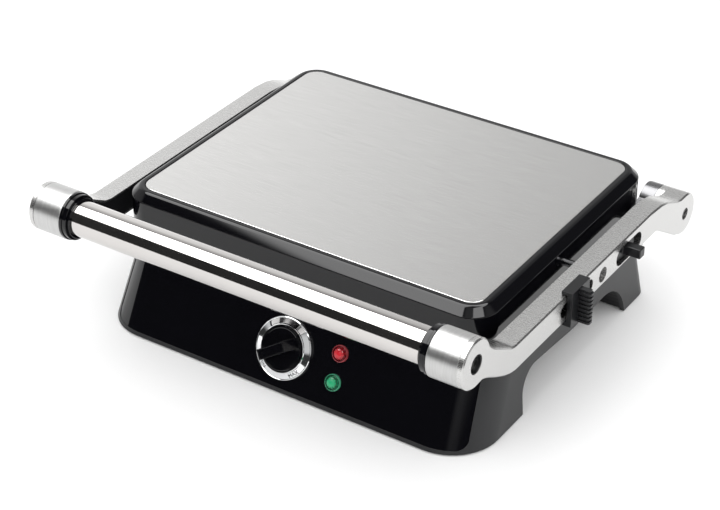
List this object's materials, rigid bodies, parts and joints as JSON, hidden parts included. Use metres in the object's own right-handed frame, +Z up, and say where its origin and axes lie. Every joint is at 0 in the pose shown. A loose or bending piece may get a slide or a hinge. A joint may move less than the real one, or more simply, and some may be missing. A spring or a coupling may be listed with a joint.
{
  "type": "panini press",
  "caption": "Contact grill with a floating steel-topped lid between cast arms, a tube handle, a leaning control panel, and ribbed plates inside.",
  "frame": {"origin": "on the surface the feet stand on, under the centre of the whole outline seen from above", "axes": "+Z up, the control panel and handle face -Y, +X is to the right seen from the front"},
  "size_m": [0.394, 0.3686, 0.1355],
  "materials": {
    "dark_plastic": "fine-textured dark grey moulding",
    "gloss_black": "gloss black moulding",
    "black_plastic": "satin black moulding",
    "chrome": "bright plated ring",
    "red_lens": "clear red lens",
    "green_lens": "clear green lens",
    "bulb": "neon bulb",
    "control_metal": "zinc plated stampings and ceramic",
    "plate_coating": "non-stick coated cast aluminium",
    "element": "heat darkened steel tube",
    "sheet_metal": "bare aluminised sheet",
    "ceramic": "off-white ceramic terminal block",
    "cast_alloy": "satin cast aluminium",
    "polished_alloy": "polished cast aluminium",
    "brushed_cap": "turned and brushed aluminium",
    "polished_tube": "polished steel tube",
    "brushed_panel": "stainless steel brushed along its width",
    "steel_pin": "ground steel",
    "screw_steel": "zinc plated screws",
    "rubber": "moulded rubber",
    "lead_sleeve": "silicone rubber sleeve"
  },
  "bodies": {
    "base": {"base_housing": "dark_plastic", "bottom_cover": "black_plastic", "fascia_panel": "gloss_black", "dial_ring": "chrome", "red_lamp_lens": "red_lens", "green_lamp_lens": "green_lens", "indicator_bulbs": "bulb", "thermostat": "control_metal", "thermostat_nut": "screw_steel", "lower_plate": "plate_coating", "lower_heating_element": "element", "lower_heat_shield": "sheet_metal", "terminal_block": "ceramic", "supply_leads": "lead_sleeve", "cord_gland": "rubber", "right_hinge_bracket": "polished_alloy", "left_hinge_bracket": "polished_alloy", "hinge_pins": "steel_pin", "rubber_feet": "rubber", "base_screws": "screw_steel"},
    "knob": {"knob": "black_plastic", "thermostat_shaft": "steel_pin"},
    "handle_frame": {"right_arm": "cast_alloy", "left_arm": "cast_alloy", "handle_tube": "polished_tube", "right_end_cap": "brushed_cap", "left_end_cap": "brushed_cap", "right_collar": "black_plastic", "left_collar": "black_plastic", "right_arm_liner": "black_plastic", "left_arm_liner": "black_plastic", "handle_screws": "screw_steel"},
    "height_slider": {"height_slider": "black_plastic"},
    "release_lever": {"release_lever": "black_plastic"},
    "lid": {"lid_bezel": "gloss_black", "lid_panel": "brushed_panel", "lid_lower_frame": "black_plastic", "upper_plate": "plate_coating", "upper_heating_element": "element", "upper_heat_shield": "sheet_metal", "lid_pivot_pins": "steel_pin", "lid_screws": "screw_steel"}
  },
  "joints": [
    {"name": "handle_lift", "type": "hinge", "parent": "base", "child": "handle_frame", "pos_m": [-0.007, 0.16685, 0.0666], "axis": [-1, 0, 0], "range_deg": [0, 178]},
    {"name": "lid_tilt", "type": "hinge", "parent": "handle_frame", "child": "lid", "pos_m": [-0.007, 0.02185, 0.087], "axis": [1, 0, 0], "range_deg": [-1.4, 1.4]},
    {"name": "dial_turn", "type": "hinge", "parent": "base", "child": "knob", "pos_m": [-0.007, -0.12225, 0.0314], "axis": [0, 0.8944, -0.4472], "range_deg": [-15, 262]},
    {"name": "height_slide", "type": "slide", "parent": "handle_frame", "child": "height_slider", "axis": [0, 1, 0], "range_m": [-0.01, 0.016]},
    {"name": "release_slide", "type": "slide", "parent": "handle_frame", "child": "release_lever", "axis": [0, 1, 0], "range_m": [0, 0.005], "stiffness_N_per_m": 400}
  ]
}
